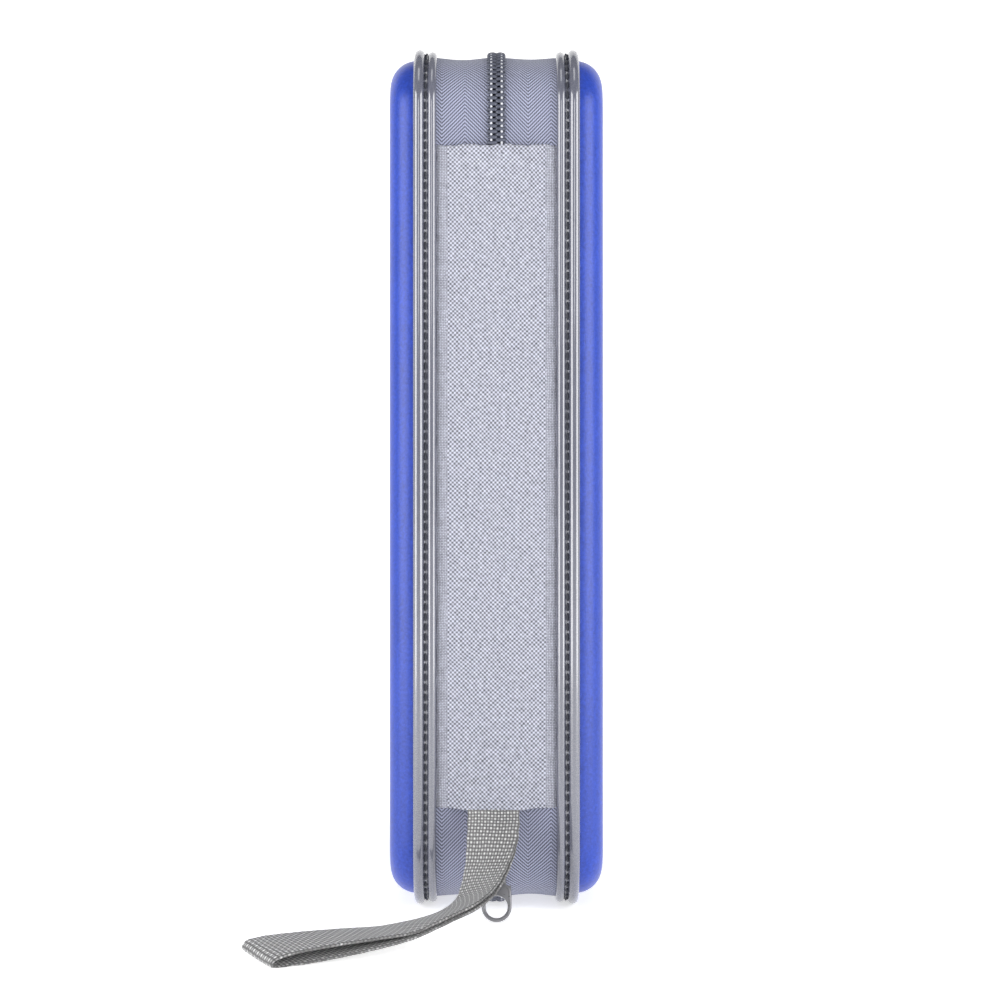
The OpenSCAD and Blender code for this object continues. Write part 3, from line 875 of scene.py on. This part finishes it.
for body in ("base", "lid"):
    dress(f"{body}_core", CORE)
    dress(f"{body}_lining", LINING)
dress("spine_board", BOARD)
dress("spine_lining", LINING_SPINE)
dress("zip_stop_lower", CHAIN_THREAD)
dress("zip_stop_upper", CHAIN_THREAD)
dress("strap_bartack", THREAD)

insert = copy_of("foam_insert", "insert_bed", INSERT, 1.2, 3)
binding = copy_of("pocket_binding", "pocket_binding_tape", BINDING, 0.8)


def build_elastic():
    """Gathered elastic at the pocket's mouth."""
    low, high = box_mm("pocket_elastic")
    ys = np.linspace(low[1], high[1], 180)
    prof = []
    for k in range(20):
        a = 2 * math.pi * k / 20
        prof.append((math.copysign(abs(math.cos(a)) ** 0.6, math.cos(a)),
                     math.copysign(abs(math.sin(a)) ** 0.45, math.sin(a))))
    cx, cz = (low[0] + high[0]) / 2, (low[2] + high[2]) / 2
    verts = []
    for y in ys:
        ripple = 0.14 * math.sin(y * 1.9) + 0.08 * math.sin(y * 0.7)
        for a, b in prof:
            z = cz + b * (high[2] - low[2]) / 2 * (1 + 0.02 * math.sin(y))
            verts.append((cx + a * 0.42 + ripple, y, z))
    faces = grid_faces(len(ys), len(prof), wrap=True)
    faces += [list(range(20)), list(range((len(ys) - 1) * 20, len(ys) * 20))]
    ob = add_mesh("pocket_elastic_band", verts, faces, ELASTIC)
    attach(ob, "lid")
    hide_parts("pocket_elastic")


def build_net():
    """Diamond net: a slanting lattice thickened into yarn."""
    low, high = box_mm("net_pocket")
    x = (low[0] + high[0]) / 2
    cell = 3.2
    ny, nz = int((high[1] - low[1]) / cell), int((high[2] - low[2]) / cell)
    verts, faces, index = [], [], {}

    def vertex(i, j):
        if (i, j) not in index:
            y = low[1] + (high[1] - low[1]) * i / ny
            z = low[2] + (high[2] - low[2]) * j / nz
            slack = 0.22 * math.sin(math.pi * i / ny) * math.sin(j * 0.12 + 0.4)
            index[(i, j)] = len(verts)
            verts.append((x + slack, y, z))
        return index[(i, j)]

    for i in range(0, ny):
        for j in range(0, nz):
            if (i + j) % 2 == 0:
                quad = [(i, j), (i + 1, j - 1), (i + 2, j), (i + 1, j + 1)]
                if all(0 <= a <= ny and 0 <= b <= nz for a, b in quad):
                    faces.append([vertex(a, b) for a, b in quad])
    ob = add_mesh("net_pocket_mesh", verts, faces, NET)
    wire = ob.modifiers.new("yarn", "WIREFRAME")
    wire.thickness = 0.5 * MM
    wire.use_even_offset = False
    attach(ob, "lid")
    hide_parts("net_pocket")


build_elastic()
build_net()


# ---------- stage ----------

def lamp(name, place_m, target, size, power):
    """A rectangular soft light, aimed at a point; places and sizes are in metres."""
    data = bpy.data.lights.new(name, "AREA")
    data.shape = "RECTANGLE"
    data.size, data.size_y = size
    data.energy = power
    ob = bpy.data.objects.new(name, data)
    bpy.context.scene.collection.objects.link(ob)
    ob.location = place_m
    ob.rotation_euler = (Vector(target) - Vector(place_m)).to_track_quat("-Z", "Y").to_euler()


def build_stage():
    """A pale paper sweep, white surroundings and four soft lights."""
    paper = plain("paper", (0.93, 0.93, 0.93), 0.9, 200, 0.0, low=0.99, high=1.0)
    glow = paper.node_tree.nodes["Principled BSDF"].inputs
    glow["Emission Color"].default_value = (1, 1, 1, 1)
    glow["Emission Strength"].default_value = 0.55
    rows = [(-9.0, 0.0), (1.0, 0.0)]
    rows += [(1.0 + 0.5 * math.sin(a), 0.5 - 0.5 * math.cos(a)) for a in np.linspace(0.1, math.pi / 2, 12)]
    rows += [(1.5, 3.0)]
    verts = [(x * 1000, y * 1000, z * 1000 - 0.02) for y, z in rows for x in (-7, 7)]
    ob = add_mesh("paper_sweep", verts, grid_faces(len(rows), 2, flip=True), paper)
    world = bpy.data.worlds.new("studio")
    bpy.context.scene.world = world
    world.use_nodes = True
    world.node_tree.nodes["Background"].inputs[0].default_value = (1, 1, 1, 1)
    world.node_tree.nodes["Background"].inputs[1].default_value = 0.32
    aim = (0, -0.09, 0.14)
    lamp("key_left", (-0.62, -0.48, 0.17), aim, (0.5, 0.85), 5.2)
    lamp("key_right", (0.62, -0.48, 0.17), aim, (0.5, 0.85), 5.2)
    lamp("top", (0, -0.5, 1.2), aim, (0.5, 0.5), 1.2)
    lamp("front", (0, -1.5, 0.5), aim, (0.4, 0.4), 1.6)
    bpy.context.scene.view_settings.view_transform = "Standard"
    bpy.context.scene.view_settings.look = "None"


build_stage()

# The camera looks level at the spine, a little below the case's mid-height; these are in metres
EYE_X, EYE_AWAY, EYE_Z = -0.00185, 0.6, 0.1312

eye = bpy.data.cameras.new("camera")
eye.sensor_width = 36
eye.lens = 71.2
eye.clip_start, eye.clip_end = 0.01, 20
camera = bpy.data.objects.new("camera", eye)
bpy.context.scene.collection.objects.link(camera)
camera.location = (EYE_X, -HALF_Y * MM - EYE_AWAY, EYE_Z)
camera.rotation_euler = (math.radians(90), 0, 0)
bpy.context.scene.camera = camera
